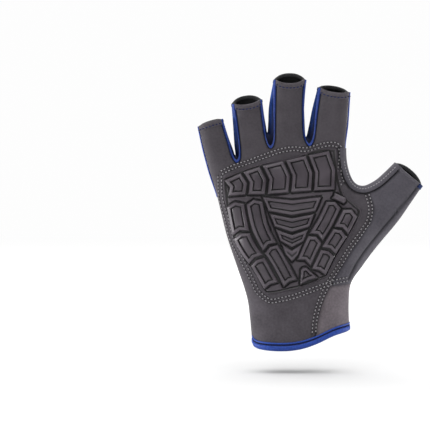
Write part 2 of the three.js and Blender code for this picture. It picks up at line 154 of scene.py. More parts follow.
# The outline as short straight parts, carried straight on past both ends of each edge
line_steps, carried_on = 8, 14
outline_parts = []
for edge in outline.values():
    line = stretch(edge, 0, len(edge) - 1, (len(edge) - 1) * line_steps)
    ends = [end + (end - inner) * carried_on / np.hypot(*(end - inner))
            for end, inner in ((line[0], line[1]), (line[-1], line[-2]))]
    outline_parts += straight_parts(np.vstack([ends[0], line, ends[1]]))

# Each wave's height, its lengths along x and z, and its start
waves = [(0.16, 7.1, 11.3, 0.7), (0.13, 11.9, -8.3, 2.1), (0.12, 17, 5.3, 4.0), (0.09, 4.3, -23, 1.3)]


def unevenness(x, z):
    """How far hand-pulled cloth stands off a perfect surface: the sum of four crossing sine waves."""
    return sum(height * np.sin(x / across + z / up + start) for height, across, up, start in waves)


crease_steps, crease_width, crease_reach = 12, 1.6, 1.3
swell_share, swell_width = 0.45, 4.2
crease_parts = [(straight_parts(stretch(line, 0, 2, crease_steps)), depth) for line, depth in creases]


def creased(flat):
    """How far the back's cloth is folded in where a joint bends: along each crease a narrow bell less a
    wider and lower one, which dies away towards the crease's ends."""
    hollow = 0
    for parts, depth in crease_parts:
        distance = nearest(flat, parts)[1]
        middle = parts[len(parts) // 2][0]
        reach = crease_reach * np.hypot(*(parts[0][0] - middle))
        fade = 1 - smooth(np.hypot(*(flat - middle).T) / reach)
        swell = swell_share * bell(distance, swell_width)
        hollow = hollow + depth * fade * (bell(distance, crease_width) - swell)
    return hollow


on_the_line = 0.3


def from_outline(flat):
    """Each point's distance from the outline and the direction away from it, which on the line itself
    is square to it."""
    offset, distance, right = nearest(flat, outline_parts)
    away = offset / np.maximum(distance, 1e-6)[:, None]
    return distance, np.where(distance[:, None] > on_the_line, away, right)


# Half the glove's depth at the palm, the cuff and a finger, and the width over which its sides round
half_depth = {"front": (15, 17, 8.6), "back": (14, 16.5, 8.2)}
palm_rounding, digit_rounding, little_narrower, fullness = 26, 11.8, 2.3, 2.25
# The outline's own width, and how far in from it the cloth is pulled smooth
line_width, smooth_edge = 0.05, 9
# Centre, radius and height of the mounds and the hollow of the palm
palm_mounds = [(36, 74, 23, 4.5), (-38, 70, 22, 2.5), (-4, 98, 20, -2)]
# Where one shape passes into the next: the place it starts, and the length it takes
thumb_root, thumb_lean = (30, 60), math.radians(49.5)
finger_zone, thumb_zone, cuff_zone, little_zone = (112, 36), (22, 44), (48, -40), (-47, -13)
# How far the digits bend forward, and over which zones
finger_bend, finger_bend_power, thumb_bend = 8, 1.6, 11
bent_finger, bent_thumb, thumb_side_zone = (120, 85), (12, 76), (8, 55)


def worn(flat, side, from_seam=seam_gap / 2):
    """The worn glove's outer face over points [x, z], and the direction out of it. In from the
    outline the face rises as a rounded rectangle's corner does, whose width and height are the
    rounding and the half depth. Both pass from the palm's to a finger's. The middle bends forward
    at the digit ends, and each side stands from_seam off it."""
    shape = flat.shape[:-1]
    flat = flat.reshape(-1, 2)
    x, z = flat.T
    up_thumb = (x - thumb_root[0]) * math.cos(thumb_lean) + (z - thumb_root[1]) * math.sin(thumb_lean)
    digit = 1 - (1 - eased(z, *finger_zone)) * (1 - eased(up_thumb, *thumb_zone))
    middle = (-finger_bend * np.clip((z - bent_finger[0]) / bent_finger[1], 0, 1) ** finger_bend_power
              - thumb_bend * eased(up_thumb, *bent_thumb) * eased(x, *thumb_side_zone))
    palm, cuff, finger = half_depth[side]
    depth = mix(mix(palm, cuff, eased(z, *cuff_zone)), finger, digit)
    if side == "front":
        for at_x, at_z, radius, height in palm_mounds:
            depth = depth + height * bell(np.hypot(x - at_x, z - at_z), radius)
    rounding = mix(palm_rounding, digit_rounding, digit)
    rounding = rounding - little_narrower * digit * eased(x, *little_zone)
    distance, inward = from_outline(flat)
    distance = np.maximum(distance - line_width, 0)
    left = 1 - np.minimum(distance / rounding, 1)
    level = (1 - left**fullness) ** (1 / fullness)
    depth = depth + unevenness(x, z) * smooth(distance / smooth_edge)
    if side == "back":
        depth = depth - creased(flat)
    sideways, outwards = depth / rounding * left ** (fullness - 1), level ** (fullness - 1)
    size = np.hypot(sideways, outwards)
    sign = -1 if side == "front" else 1
    base = np.stack([x, middle + sign * (depth * level + from_seam), z], -1)
    out = np.stack([-inward[:, 0] * sideways, sign * outwards, -inward[:, 1] * sideways], -1)
    return base.reshape(*shape, 3), (out / size[:, None]).reshape(*shape, 3)


fingers_from, usual_depth, arc_points = 130, 12, 13


def unrolled(flat):
    """Places on the cloth as it was cut, in millimetres: where the face curves away, the point is
    moved out by how much longer the way over the curve is than the way across."""
    distance, inward = from_outline(flat)
    rounding = np.where(flat[:, 1] > fingers_from, digit_rounding, palm_rounding)
    left = (1 - np.minimum(distance / rounding, 1))[:, None] * np.linspace(0, 1, arc_points)
    rise = np.diff((1 - left**fullness) ** (1 / fullness)) * usual_depth
    across = np.diff(left) * rounding[:, None]
    longer = (np.hypot(rise, across) - across).sum(1)
    return flat - inward * longer[:, None]


edge_steps = 96


def edge_height(x, side):
    """Height of the cuff edge at x, on the curve through the points of its table."""
    table = cuff_edge[side]
    return np.interp(x, *stretch(table, 0, len(table) - 1, edge_steps).T)


def side_lines(side):
    """Each digit's strip of the glove: its left line and right line, row by row from the cuff edge to
    the digit's end. The front's run to the gussets' edges."""
    deeper = gusset_edge if side == "front" else outline
    to_crotch, up_left, up_right = {}, {}, {}
    for name, line in palm_lines.items():
        points = [*line, deeper[name][3]]
        to_crotch[name] = joined(stretch(points, 0, 1, cuff_rows), stretch(points, 1, 3, palm_rows))
        up_left[name] = stretch(deeper[name], 3, 0, digit_rows)
        up_right[name] = stretch(deeper[name], 3, 6, digit_rows)
    little, web, outer = (outline[name] for name in ("little_side", "thumb_web", "thumb_side"))
    seam = joined(stretch(thumb_seam, 0, 3, cuff_rows), stretch(thumb_seam, 3, 8, web_rows))
    return {
        "little": (joined(stretch(little, 0, 2, cuff_rows), stretch(little, 2, 6, palm_rows),
                          stretch(little, 6, 8, digit_rows)),
                   joined(to_crotch["little_ring"], up_left["little_ring"])),
        "ring": (joined(to_crotch["little_ring"], up_right["little_ring"]),
                 joined(to_crotch["ring_middle"], up_left["ring_middle"])),
        "middle": (joined(to_crotch["ring_middle"], up_right["ring_middle"]),
                   joined(to_crotch["middle_index"], up_left["middle_index"])),
        "index": (joined(to_crotch["middle_index"], up_right["middle_index"]),
                  joined(seam, stretch(web, 5, 2.5, palm_rows - web_rows),
                         stretch(web, 2.5, 0, digit_rows))),
        "thumb": (joined(seam, stretch(web, 5, 8, digit_rows)),
                  joined(stretch(outer, 9, 7, cuff_rows), stretch(outer, 7, 2, web_rows),
                         stretch(outer, 2, 0, digit_rows))),
    }


def strip(name, side):
    """A grid of flat points between a digit's two lines. The columns crowd towards a side that curves
    away, as the cosine of even steps does, the cuff rows drop to the cuff edge, and the end rows
    bulge in an arch."""
    left, right = side_lines(side)[name]
    row = np.arange(len(left))[:, None]
    crotch = len(left) - 1 - digit_rows
    u = np.linspace(0, 1, columns + 1)[None]
    near = np.clip(((row - cuff_rows) / (crotch - cuff_rows) - 0.5) * 2, 0, 1)
    left_curves = np.maximum(near, name == "little")
    right_curves = np.maximum(near, name == "thumb")
    both, only_left, only_right = ((1 - np.cos(np.pi * u)) / 2, 1 - np.cos(np.pi / 2 * u),
                                   np.sin(np.pi / 2 * u))
    place = mix(mix(u, only_right, right_curves), mix(only_left, both, right_curves), left_curves)
    flat = left[:, None] + (right - left)[:, None] * place[..., None]
    edge = edge_height(mix(left[0, 0], right[0, 0], place), side)
    drop = (edge - mix(left[0, 1], right[0, 1], place)) * (1 - np.clip(row / cuff_rows, 0, 1))
    arch = end_bulge[name][side] * np.clip((row - crotch) / digit_rows, 0, 1) ** 2
    arch = arch * (1 - np.abs(2 * place - 1) ** end_fullness)
    way = (right - left) / np.hypot(*(right - left).T)[:, None]
    return flat + np.stack([-way[:, 1:] * arch, way[:, :1] * arch + drop], -1)


def cells(rows, across):
    """The four corners of each cell of a grid of points, as numbers of the points."""
    index = np.arange(rows * across).reshape(rows, across)
    return np.stack([index[:-1, :-1], index[:-1, 1:], index[1:, 1:], index[1:, :-1]], -1).reshape(-1, 4)


off_grid = 0.000123


def net(grids):
    """Grids of flat points joined into one net, with the points that they share merged: those that
    round to the same thousandth, counted from a little off zero."""
    points = np.vstack([grid.reshape(-1, 2) for grid in grids])
    start = np.cumsum([0] + [grid.shape[0] * grid.shape[1] for grid in grids])
    quads = np.vstack([cells(*grid.shape[:2]) + first for first, grid in zip(start, grids)])
    _, kept, where = np.unique(np.round(points + off_grid, 3), axis=0, return_index=True,
                               return_inverse=True)
    return points[kept], where.reshape(-1)[quads]


def thickened(flat, quads, side, low, high):
    """A net laid on the glove and closed into a slab, from low to high above the outer face. Returns
    its points, its faces, and which part each face is: 0 outside, 1 the cut edge, 2 inside."""
    base, out = worn(flat, side)
    count = len(flat)
    low, high = (np.broadcast_to(lift, count)[:, None] for lift in (low, high))
    points = np.vstack([base + out * high, base + out * low])
    if side == "back":
        quads = quads[:, ::-1]
    ways = np.stack([quads, np.roll(quads, -1, 1)], -1).reshape(-1, 2)
    open_ways = ways[~np.isin(ways[:, 0] * count + ways[:, 1], ways[:, 1] * count + ways[:, 0])]
    a, b = open_ways.T
    rim = np.stack([b, a, a + count, b + count], -1)
    faces = np.vstack([quads, rim, quads[:, ::-1] + count])
    return points, faces, np.repeat([0, 1, 2], [len(quads), len(rim), len(quads)])


def make_piece(name, points, faces, materials, replaces=(), which=0, cloth=None, caps=(),
               painted_shade=None, crisp=45):
    """One mesh from points in millimetres, riding on the glove. which gives each face's material, cloth
    gives each point's place on the flat cloth, and the painted shade of each point how far its colour is
    darkened. Edges that turn by more than crisp degrees stay sharp. All faces are turned round where the
    piece's volume comes out under nothing. It is summed as seen from the origin and without the end
    caps, which misleads for one piece, the hem round the thumb web: its faces point inwards."""
    a, b, c, d = (points[faces[:, i]] for i in range(4))
    volume = ((np.cross(b - a, c - a) * (a + b + c)).sum()
              + (np.cross(c - a, d - a) * (a + c + d)).sum())
    faces = faces.tolist() + [list(cap) for cap in caps]
    if volume < 0:
        faces = [face[::-1] for face in faces]
    mesh = bpy.data.meshes.new(name)
    mesh.from_pydata((points * millimetre).tolist(), [], faces)
    which = np.concatenate([np.broadcast_to(which, len(faces) - len(caps)), np.zeros(len(caps))])
    mesh.polygons.foreach_set("material_index", which.astype(np.int32))
    mesh.polygons.foreach_set("use_smooth", np.ones(len(faces), bool))
    if cloth is not None:
        corners = np.zeros(len(mesh.loops), np.int32)
        mesh.loops.foreach_get("vertex_index", corners)
        layer = mesh.uv_layers.new(name="cloth")
        layer.data.foreach_set("uv", cloth[corners].astype(np.float32).ravel())
    if painted_shade is not None:
        # Painted shade of each point, which the materials read to darken their colour
        depth = mesh.attributes.new("painted_shade", "FLOAT", "POINT")
        depth.data.foreach_set("value", painted_shade.astype(np.float32))
    for material in materials:
        mesh.materials.append(material)
    mesh.update()
    mesh.set_sharp_from_angle(angle=math.radians(crisp))
    made = bpy.data.objects.new(name, mesh)
    bpy.context.scene.collection.objects.link(made)
    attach(made, "root")
    if replaces:
        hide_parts(*replaces)
    return made


def add(tree, kind, sockets=None, **settings):
    """One node of a material. sockets gives its inputs a number, a colour or another node's output."""
    made = tree.nodes.new(kind)
    for key, value in settings.items():
        setattr(made, key, value)
    for key, value in (sockets or {}).items():
        if isinstance(value, bpy.types.NodeSocket):
            tree.links.new(value, made.inputs[key])
        else:
            made.inputs[key].default_value = value
    return made


def new_material(name, roughness, **shader_values):
    """An empty material's tree and its shader, with the shader's constant values set on it."""
    material = bpy.data.materials.new(name)
    material.use_nodes = True
    shader = material.node_tree.nodes["Principled BSDF"]
    shader.inputs["Roughness"].default_value = roughness
    for key, value in shader_values.items():
        shader.inputs[key.replace("_", " ").title().replace("Ior", "IOR")].default_value = value
    return material, material.node_tree, shader


def calculate(tree, operation, a, b=0.0):
    """The output of one sum, product or other operation on two numbers or outputs."""
    return add(tree, "ShaderNodeMath", {0: a, 1: b}, operation=operation).outputs[0]


def blended(tree, share, a, b):
    """A colour that is a at share 0 and b at share 1. The Mix node's colour sockets are 6, 7 and 2."""
    return add(tree, "ShaderNodeMix", {0: share, 6: a, 7: b}, data_type="RGBA").outputs[2]


def between(tree, value, low, high, to_low=0.0, to_high=1.0):
    """A value carried from the range low to high over to another range, and kept inside it."""
    return add(tree, "ShaderNodeMapRange", {0: value, 1: low, 2: high, 3: to_low, 4: to_high}).outputs[0]


def wave(tree, value, pitch):
    """The sine of a value, which goes through one wave in each pitch."""
    return calculate(tree, "SINE", calculate(tree, "MULTIPLY", value, 2 * math.pi / pitch))


def noise(tree, place, size, detail=3.0):
    """Soft random grain from 0 to 1, with lumps of the given size in the place's own units."""
    sockets = {"Vector": place, "Scale": 1 / size, "Detail": detail}
    return add(tree, "ShaderNodeTexNoise", sockets).outputs[0]


def spread(tree, grain, low, high):
    """A noise carried over to the range low to high from 0.3 to 0.7, where most of it lies."""
    return between(tree, grain, 0.3, 0.7, low, high)


def by_point(tree, name):
    """A value that the mesh holds for each of its points."""
    return add(tree, "ShaderNodeAttribute", attribute_name=name).outputs["Fac"]


def on_cloth(tree):
    """The place on the flat cloth, in millimetres."""
    return add(tree, "ShaderNodeUVMap", uv_map="cloth").outputs[0]


def add_relief(tree, shader, height, strength, distance):
    """Fine relief on the surface: a height from 0 to 1 that stands for a distance in metres."""
    bump = add(tree, "ShaderNodeBump", {"Height": height, "Strength": strength, "Distance": distance})
    tree.links.new(bump.outputs[0], shader.inputs["Normal"])


def knit_cloth(name, dark, light, wale=0.95, course=0.8):
    """Knit-faced foam: columns of V-shaped loops, one wale wide and one course high, whose yarn is
    flecked and whose dye is a little uneven. From 40 to 160 mm up the glove its colour is painted a
    shade darker, which is painted shade, and where it is drawn into a seam it is painted near black, the
    painted shade of the seam."""
    material, tree, shader = new_material(name, 0.86, specular_ior_level=0.22, sheen_weight=0.12,
                                          sheen_roughness=0.45)
    place = on_cloth(tree)
    across, along = add(tree, "ShaderNodeSeparateXYZ", {0: place}).outputs[:2]
    column = calculate(tree, "FRACT", calculate(tree, "DIVIDE", across, wale))
    from_middle = calculate(tree, "ABSOLUTE", calculate(tree, "SUBTRACT", column, 0.5))
    slanted = calculate(tree, "ADD", calculate(tree, "DIVIDE", along, course), from_middle)
    loops = between(tree, wave(tree, slanted, 1), -1, 1, 0.35)
    knit = calculate(tree, "MULTIPLY", loops, wave(tree, from_middle, 1))
    yarn, fleck, dye = (noise(tree, place, size) for size in (0.5, 1.7, 14))
    shade = calculate(tree, "ADD", spread(tree, fleck, 0, 0.5), spread(tree, dye, 0, 0.5))
    shade = calculate(tree, "MULTIPLY", shade, between(tree, knit, 0, 1, 0.72, 1.1))
    # Painted shade: the colour gets darker from 40 to 160 mm up the glove
    shade = calculate(tree, "MULTIPLY", shade, between(tree, along, 40, 160, 1.15, 0.6))
    # Painted shade of the seams: the colour passes to near black where the cloth is drawn in
    seam_painted_shade = (0.006, 0.006, 0.008, 1)
    colour = blended(tree, by_point(tree, "painted_shade"), blended(tree, shade, dark, light), seam_painted_shade)
    tree.links.new(colour, shader.inputs["Base Color"])
    height = calculate(tree, "ADD", knit, calculate(tree, "MULTIPLY", yarn, 0.8))
    add_relief(tree, shader, height, 0.45, 0.00022)
    return material


def grained_cloth(name, dark, light, size, relief, roughness, **shader_values):
    """Plain close cloth: a fine grain of the given size in its colour and its relief."""
    material, tree, shader = new_material(name, roughness, **shader_values)
    grain = noise(tree, on_cloth(tree), size)
    tree.links.new(blended(tree, grain, dark, light), shader.inputs["Base Color"])
    add_relief(tree, shader, grain, relief, 0.0002)
    return material


lining = grained_cloth("black_lining", (0.006, 0.006, 0.007, 1), (0.014, 0.014, 0.015, 1), size=1.2,
                       relief=0.4, roughness=0.9, specular_ior_level=0.15, sheen_weight=0.1)


def sew_panel(node, flat, quads, side, lift, shade, knit, slot):
    """A panel of the foam rubber in its node's place, knit outside and lining inside. Lift moves its
    face off the worn shape, and shade is how dark painted shade makes it where it is drawn in."""
    points, faces, part = thickened(flat, quads, side, -wall, lift)
    make_piece(node + "_cloth", points, faces, [knit, lining], [node],
               which=(part > 0).astype(int), cloth=np.tile(unrolled(flat), (2, 1)),
               painted_shade=np.tile(shade, 2))


back_knit = knit_cloth("blue_grey_knit", (0.046, 0.047, 0.060, 1), (0.082, 0.083, 0.100, 1))
digits = list(end_bulge)
# Along the outline the back is drawn in, and painted shade darkens it there
edge_width, edge_depth, back_edge_shade = 1.1, 0.25, 0.5
flat, quads = net([strip(name, "back") for name in digits])
drawn = bell(nearest(flat, outline_parts)[1], edge_width)
sew_panel("back_panel", flat, quads, "back", -edge_depth * drawn, back_edge_shade * drawn, back_knit,
          "back_cloth")

# Palm panel
# The palm, the four finger fronts and most of the cuff are one piece of the same foam rubber, faced
# with a warmer dark grey knit. Its edges are turned down into the seams of the gussets and the thumb.
gusset_edge = {
    "little_ring": [(-62.5, 170.6), (-57.2, 153), (-53.6, 141.5), (-49.9, 136.8), (-47.2, 141.5),
                    (-48.4, 157), (-51.9, 182.2)],
    "ring_middle": [(-32, 185.5), (-30.2, 171), (-27.4, 154.5), (-23.7, 147.9), (-20.7, 154),
                    (-20.2, 176), (-19.8, 200.8)],
    "middle_index": [(2.6, 201.1), (1.4, 182), (2.5, 158), (6.7, 149.7), (10.3, 156), (12.4, 174),
                     (15.2, 194.6)],
}
palm_knit = knit_cloth("dark_grey_knit", (0.046, 0.0405, 0.047, 1), (0.087, 0.078, 0.090, 1))
# The thumb's outer seam, and the lines of the twin stitch rows: round the pad, and down the thumb seam
thumb_outer_seam = [(88.6, 116.2), (80.2, 105.8), (72.5, 96.5), (65.8, 88.4), (59.1, 80.3), (52, 71.5),
                    (46, 63), (41, 54.5), (37.5, 46)]
pad_border = {
    "left": [(-63.3, 127), (-62.6, 112), (-60.8, 102.8), (-58.2, 94.4), (-56.2, 86), (-53.9, 77.4),
             (-50, 69), (-45.7, 60.6), (-41.4, 52), (-37.2, 43.6), (-33.4, 36), (-25, 29.8),
             (-17, 30.4), (-5.6, 33), (5.9, 37.2), (17.4, 41.4), (25.1, 44.1), (36.4, 46.2)],
    "top": [(-62.6, 128.6), (-53, 133.2), (-42.4, 136.7), (-28, 142), (-15.6, 146.2), (-5, 147.6),
            (4, 146.9), (12, 149), (20, 151), (27, 150.6), (30.6, 147), (31, 141), (30.1, 134),
            (29.8, 127), (32.4, 120)],
}
thumb_rows_line = [(50.8, 112.4), (52.8, 105), (53.3, 98.1), (51.6, 91.3), (47.7, 85.4), (43, 78.6),
                   (37.9, 71.8), (33.2, 64), (28.6, 56), (23.6, 48.2), (19.6, 41), (16.2, 34),
                   (13.4, 27), (11.4, 20), (10, 12), (9.4, 3.5)]
row_gap = 2.7
web_hem_width = 5.1


def to_right(line):
    """The unit direction to the right of a line, at each of its points."""
    way = np.gradient(np.asarray(line, float), axis=0)
    return np.stack([way[:, 1], -way[:, 0]], -1) / np.hypot(*way.T)[:, None]


def beside(line, distance):
    """The line moved to its right by a distance."""
    return np.asarray(line, float) + to_right(line) * distance


def parts_of(lines):
    """The straight parts of some smooth lines, four from each point to the next."""
    return [part for line in lines
            for part in straight_parts(stretch(line, 0, len(line) - 1, 4 * (len(line) - 1)))]


sewn_lines = [beside(line, side * row_gap / 2) for line in (*pad_border.values(), thumb_rows_line)
              for side in (-1, 1)]
web_line = stretch(outline["thumb_web"], 2, 8, 110)
turned_edges = [*gusset_edge.values(), thumb_outer_seam, beside(web_line[:-4], web_hem_width)]
# What draws the cloth in: the lines, and how wide, how deep and how dark with painted shade the hollow
# beside them is
drawing = [(parts_of(turned_edges), 1.0, 1.0, 0.85), (parts_of([thumb_seam]), 1.2, 0.8, 0.35),
           (parts_of(sewn_lines), 0.9, 0.35, 0.2), (outline_parts, edge_width, edge_depth, 0.0)]


def drawn_in(flat):
    """How far cloth is drawn in, and how dark the painted shade of that hollow is: beside each line of
    the list it dies away as the bell curve of that width does, and the line that draws it in most
    counts."""
    bells = [(bell(nearest(flat, parts)[1], width), deep, dark) for parts, width, deep, dark in drawing]
    return (-np.max([near * deep for near, deep, _ in bells], 0),
            np.max([near * dark for near, _, dark in bells], 0))


front = {name: strip(name, "front") for name in digits}
flat, quads = net([front[name] for name in ("little", "ring", "middle", "index")])
sew_panel("palm_panel", flat, quads, "front", *drawn_in(flat), palm_knit, "palm_cloth")

# Thumb panel and the side of the cuff
# The thumb's palm side and the cuff below it are two pieces of the knit-faced foam. They meet at the
# wrist seam, and the slanted thumb seam joins both to the palm panel.
thumb_knit = knit_cloth("thumb_knit", (0.056, 0.052, 0.064, 1), (0.103, 0.097, 0.114, 1))
cuff_side_knit = knit_cloth("cuff_side_knit", (0.099, 0.084, 0.094, 1), (0.172, 0.149, 0.165, 1))
wrist_parts = straight_parts(front["thumb"][cuff_rows])
# Along the wrist seam the cloth is drawn in, and painted shade darkens it there
wrist_width, wrist_depth, wrist_shade = 1.1, 0.7, 0.35
for node, rows, knit in (("thumb_panel", front["thumb"][cuff_rows:], thumb_knit),
                         ("cuff_side_panel", front["thumb"][:cuff_rows + 1], cuff_side_knit)):
    flat, quads = net([rows])
    lift, shade = drawn_in(flat)
    wrist = bell(nearest(flat, wrist_parts)[1], wrist_width)
    sew_panel(node, flat, quads, "front", np.minimum(lift, -wrist_depth * wrist),
              np.maximum(shade, wrist_shade * wrist), knit, "palm_cloth")

# Gussets
# A blue stretch strip runs down one finger's side, through the crotch and up the next finger's side.
# Its edge along the finger fronts is rolled over and shines; the rest lies lower, and painted shade
# turns it navy and near black.
rib_pitch, yarn_pitch = 0.55, 0.7


def stretch_cloth(name, dark, light, deep=(0.002, 0.003, 0.016, 1), sheen=0.3, gloss=0.35):
    """Smooth stretch cloth: fine ribs along it, flecked, with the sheen of its bright yarn. Where the
    piece's painted shade is set, the colour passes to the deep one, a painted shade."""
    material, tree, shader = new_material(name, 0.5, specular_ior_level=gloss, sheen_weight=sheen,
                                          sheen_roughness=0.35, sheen_tint=(0.3, 0.5, 1.0, 1))
    place = on_cloth(tree)
    across, along = add(tree, "ShaderNodeSeparateXYZ", {0: place}).outputs[:2]
    ribs, yarns = wave(tree, across, rib_pitch), wave(tree, along, yarn_pitch)
    weave = between(tree, calculate(tree, "MULTIPLY", ribs, yarns), -1, 1)
    fleck = spread(tree, noise(tree, place, 1.4), 0, 0.7)
    shade = calculate(tree, "ADD", fleck, calculate(tree, "MULTIPLY", weave, 0.3))
    colour = blended(tree, by_point(tree, "painted_shade"), blended(tree, shade, dark, light), deep)
    tree.links.new(colour, shader.inputs["Base Color"])
    add_relief(tree, shader, weave, 0.35, 0.00015)
    return material


def slab_of(grid, low, high):
    """A grid of flat points on the palm side as a closed slab, with a height for each point."""
    return thickened(grid.reshape(-1, 2), cells(*grid.shape[:2]), "front", low, np.ravel(high))


gusset_cloth = stretch_cloth("blue_stretch", (0.007, 0.024, 0.155, 1), (0.018, 0.056, 0.32, 1))
# A shaded copy of the blue, with no sheen and a near-black deep colour: painted shade
shaded_gusset_blue = stretch_cloth("blue_stretch_shaded", (0.010, 0.034, 0.17, 1), (0.030, 0.082, 0.33, 1),
                            deep=(0.001, 0.002, 0.011, 1), sheen=0.0, gloss=0.12)
# Across a gusset: the roll, at most a share of its width, and the part behind, which sags in a bow.
# That part's painted shade is heaviest in the crotch and fades over the tip zone, in shares of the way
# up, and painted shade also darkens the roll's edges.
roll_width, most_roll, roll_height, foot, rise, sag = 2.5, 0.8, 1.35, -0.6, 0.5, 0.3
tip_zone = (0.105, 0.7)
in_roll, behind_roll = np.array([0, 0.04, 0.15, 0.32, 0.5, 0.68, 0.85, 0.96]), np.linspace(0, 1, 7)
rolled = roll_height * np.sqrt(np.clip(1 - (2 * in_roll - 1) ** 2, 0, 1)) + foot
behind = foot + rise * behind_roll - sag * np.sin(np.pi * behind_roll)
roll_shade = np.interp(in_roll, [0, 0.15, 0.6, 1], [0.6, 0, 0.15, 0.9])
crotch_shade = np.interp(behind_roll, [0, 0.25, 0.6, 1], [1, 1, 0.95, 0.85])
tip_shade = np.interp(behind_roll, [0, 0.2, 0.5, 0.75, 1], [0.95, 0.85, 0.5, 0.1, 0.2])
for name in gusset_edge:
    outer, inner = (joined(stretch(line[name], 0, 3, digit_rows), stretch(line[name], 3, 6, digit_rows))
                    for line in (outline, gusset_edge))
    roll = np.minimum(roll_width / np.hypot(*(inner - outer).T), most_roll)[:, None]
    from_front = np.hstack([roll * in_roll, mix(roll, 1, behind_roll)])
    flat = inner[:, None] + (outer - inner)[:, None] * from_front[..., None]
    rows, across = flat.shape[:2]
    lift = np.tile(np.concatenate([rolled, behind]), (rows, 1))
    near_tip = eased(np.abs(np.arange(rows) / digit_rows - 1), *tip_zone)[:, None]
    # Painted shade over the gusset: across the roll by its profile, behind it by the way up
    painted_shade = np.hstack([np.tile(roll_shade, (rows, 1)), mix(crotch_shade, tip_shade, near_tip)]).ravel()
    points, faces, part = slab_of(flat, -wall, lift)
    which = np.where(part > 1, 2, 0)
    which[part == 0] = np.tile(np.arange(across - 1) >= len(in_roll) - 1, rows - 1)
    make_piece("gusset_" + name + "_cloth", points, faces, [gusset_cloth, shaded_gusset_blue, lining],
               ["gusset_" + name], which=which,
               cloth=np.tile(unrolled(flat.reshape(-1, 2)), (2, 1)),
               painted_shade=np.concatenate([painted_shade, np.ones_like(painted_shade)]))

# Moulded palm pad
# A thin dark rubber sheet is moulded with raised angular blocks, which have bevelled edges and sunk
# inner frames. It is bonded to the palm inside the stitched border.
pad_edge = {
    "left": [(-28.6, 37.6), (-37.1, 52.5), (-46, 64.5), (-52.4, 77), (-55.3, 90), (-58.4, 104),
             (-60.6, 124.5)],
    "right": [(19, 48.4), (27.5, 65.5), (36.6, 80.6), (45.8, 97.5), (41.5, 103.5), (33.6, 110.5),
              (30.5, 119), (28.6, 130), (27, 147.6)],
    "bottom": [(-28.6, 37.6), (-24, 34.9), (-11, 37.2), (4.4, 41.5), (19, 48.4)],
    "top": [(-60.6, 124.5), (-44.7, 131.3), (-29.4, 136.3), (-14, 138.6), (-2, 142), (12.8, 147.4),
            (27, 147.6)],
}
groove = 1.4
# Each row's line, its widths and the lead of its tips at both ends, and its cuts in shares of its length
block_rows = [
    ([(12.6, 51), (21.2, 69.2), (30.2, 84), (37.6, 98.2)], (12, 12.6), (1.5, 3), [0, 0.34, 0.68, 1]),
    ([(1.3, 58), (9.6, 75.9), (18.4, 90.7), (25, 104.4)], (12, 12.4), (2.5, 3), [0, 0.42, 1]),
    ([(-22.8, 40.4), (-32.3, 57.8), (-40.6, 70), (-46.2, 82.4), (-50.6, 104.4)], (12.2, 13.4), (1.5, 3),
     [0, 0.33, 0.66, 1]),
    ([(-8.2, 42.4), (-18.4, 61.4), (-27, 75.2), (-32.7, 88), (-36.6, 106)], (12, 13.2), (1.5, 3),
     [0, 0.46, 1]),
    ([(-7.6, 64.8), (-7.4, 90), (-7.4, 111)], (9.4, 46.6), (-6, -2.5), [0, 0.22, 0.46, 0.72, 1]),
    ([(6, 43.8), (1.2, 55.4)], (16, 4.4), (1, 1), [0, 1]),
    ([(-58.7, 116.6), (-44, 120.2), (-29.6, 122.9)], (12.8, 23), (3, 3.5), [0, 0.5, 1]),
    ([(-29.4, 122.9), (-2, 127.3), (24.2, 130.8)], (23, 31), (3.5, 3), [0, 0.34, 0.67, 1]),
    ([(23.4, 111.6), (34.2, 106.3)], (5, 5), (1, 1), [0, 1]),
]
# Across a block from its edge inwards: distance from the edge, and height above the cloth. A block
# less than panel_least across is a plain bar, and a larger one a panel with a sunk frame.
bar_profile = [(0, 0.75), (0.12, 1.6), (0.35, 2.2), (0.9, 2.85), (1.2, 3.0), (2.2, 3.2), (3.4, 3.25)]
panel_profile = [(0, 0.75), (0.12, 1.6), (0.35, 2.2), (0.9, 2.85), (1.2, 3.0), (2.5, 3.2), (2.7, 3.05),
                 (2.95, 1.9), (3.1, 1.8), (3.5, 1.8), (3.7, 2.3), (4.3, 2.6), (6.0, 2.7)]
panel_least, block_foot, fine_steps, past_ends, nudge = 9.5, 0.4, 400, 8, 0.005
# How light a block is painted, by the distance from its edge: near black in the grooves and frames, a
# painted shade, and palest on the ridges, a painted highlight
painted_light_at = [0, 0.2, 0.6, 1.3, 2.2, 2.6, 2.9, 3.5, 3.8]
painted_light_tone = [0.05, 0.15, 0.45, 0.5, 0.66, 0.5, 0.02, 0.02, 0.4]


def run_along(line):
    """The length of a line up to each of its points."""
    return np.concatenate([[0], np.cumsum(np.linalg.norm(np.diff(line, axis=0), axis=1))])


def evenly(points, share):
    """Points of the curve at the given shares of its length, carried straight on past its ends."""
    fine = stretch(points, 0, len(points) - 1, fine_steps)
    fine = np.vstack([mix(fine[0], fine[1], -past_ends), fine, mix(fine[-1], fine[-2], -past_ends)])
    length = run_along(fine)
    run = length[1] + share * (length[-2] - length[1])
    return np.stack([np.interp(run, length, column) for column in fine.T], -1)


def on_pad(u, v):
    """A flat point of the pad at share u across and v up: the mean of its left and right edges and of
    its bottom and top edges, less the mean of its corners, each weighted by nearness."""
    left, right, bottom, top = (evenly(pad_edge[edge], np.clip(share, 0, 1)) for edge, share in
                                (("left", v), ("right", v), ("bottom", u), ("top", u)))
    u, v = u[..., None], v[..., None]
    low, high = (mix(*np.array(pad_edge[edge], float)[[0, -1]], u) for edge in ("bottom", "top"))
    return mix(left, right, u) + mix(bottom, top, v) - mix(low, high, v)


def block_steps(distances, size):
    """Places across a block as shares of its size: at each of the profile's distances from both edges,
    up to the middle, and four steps between."""
    near = np.array([distance for distance in distances if distance < size / 2 - 0.3]) / size
    return np.concatenate([near, np.linspace(near[-1], 1 - near[-1], 5)[1:-1], 1 - near[::-1]])


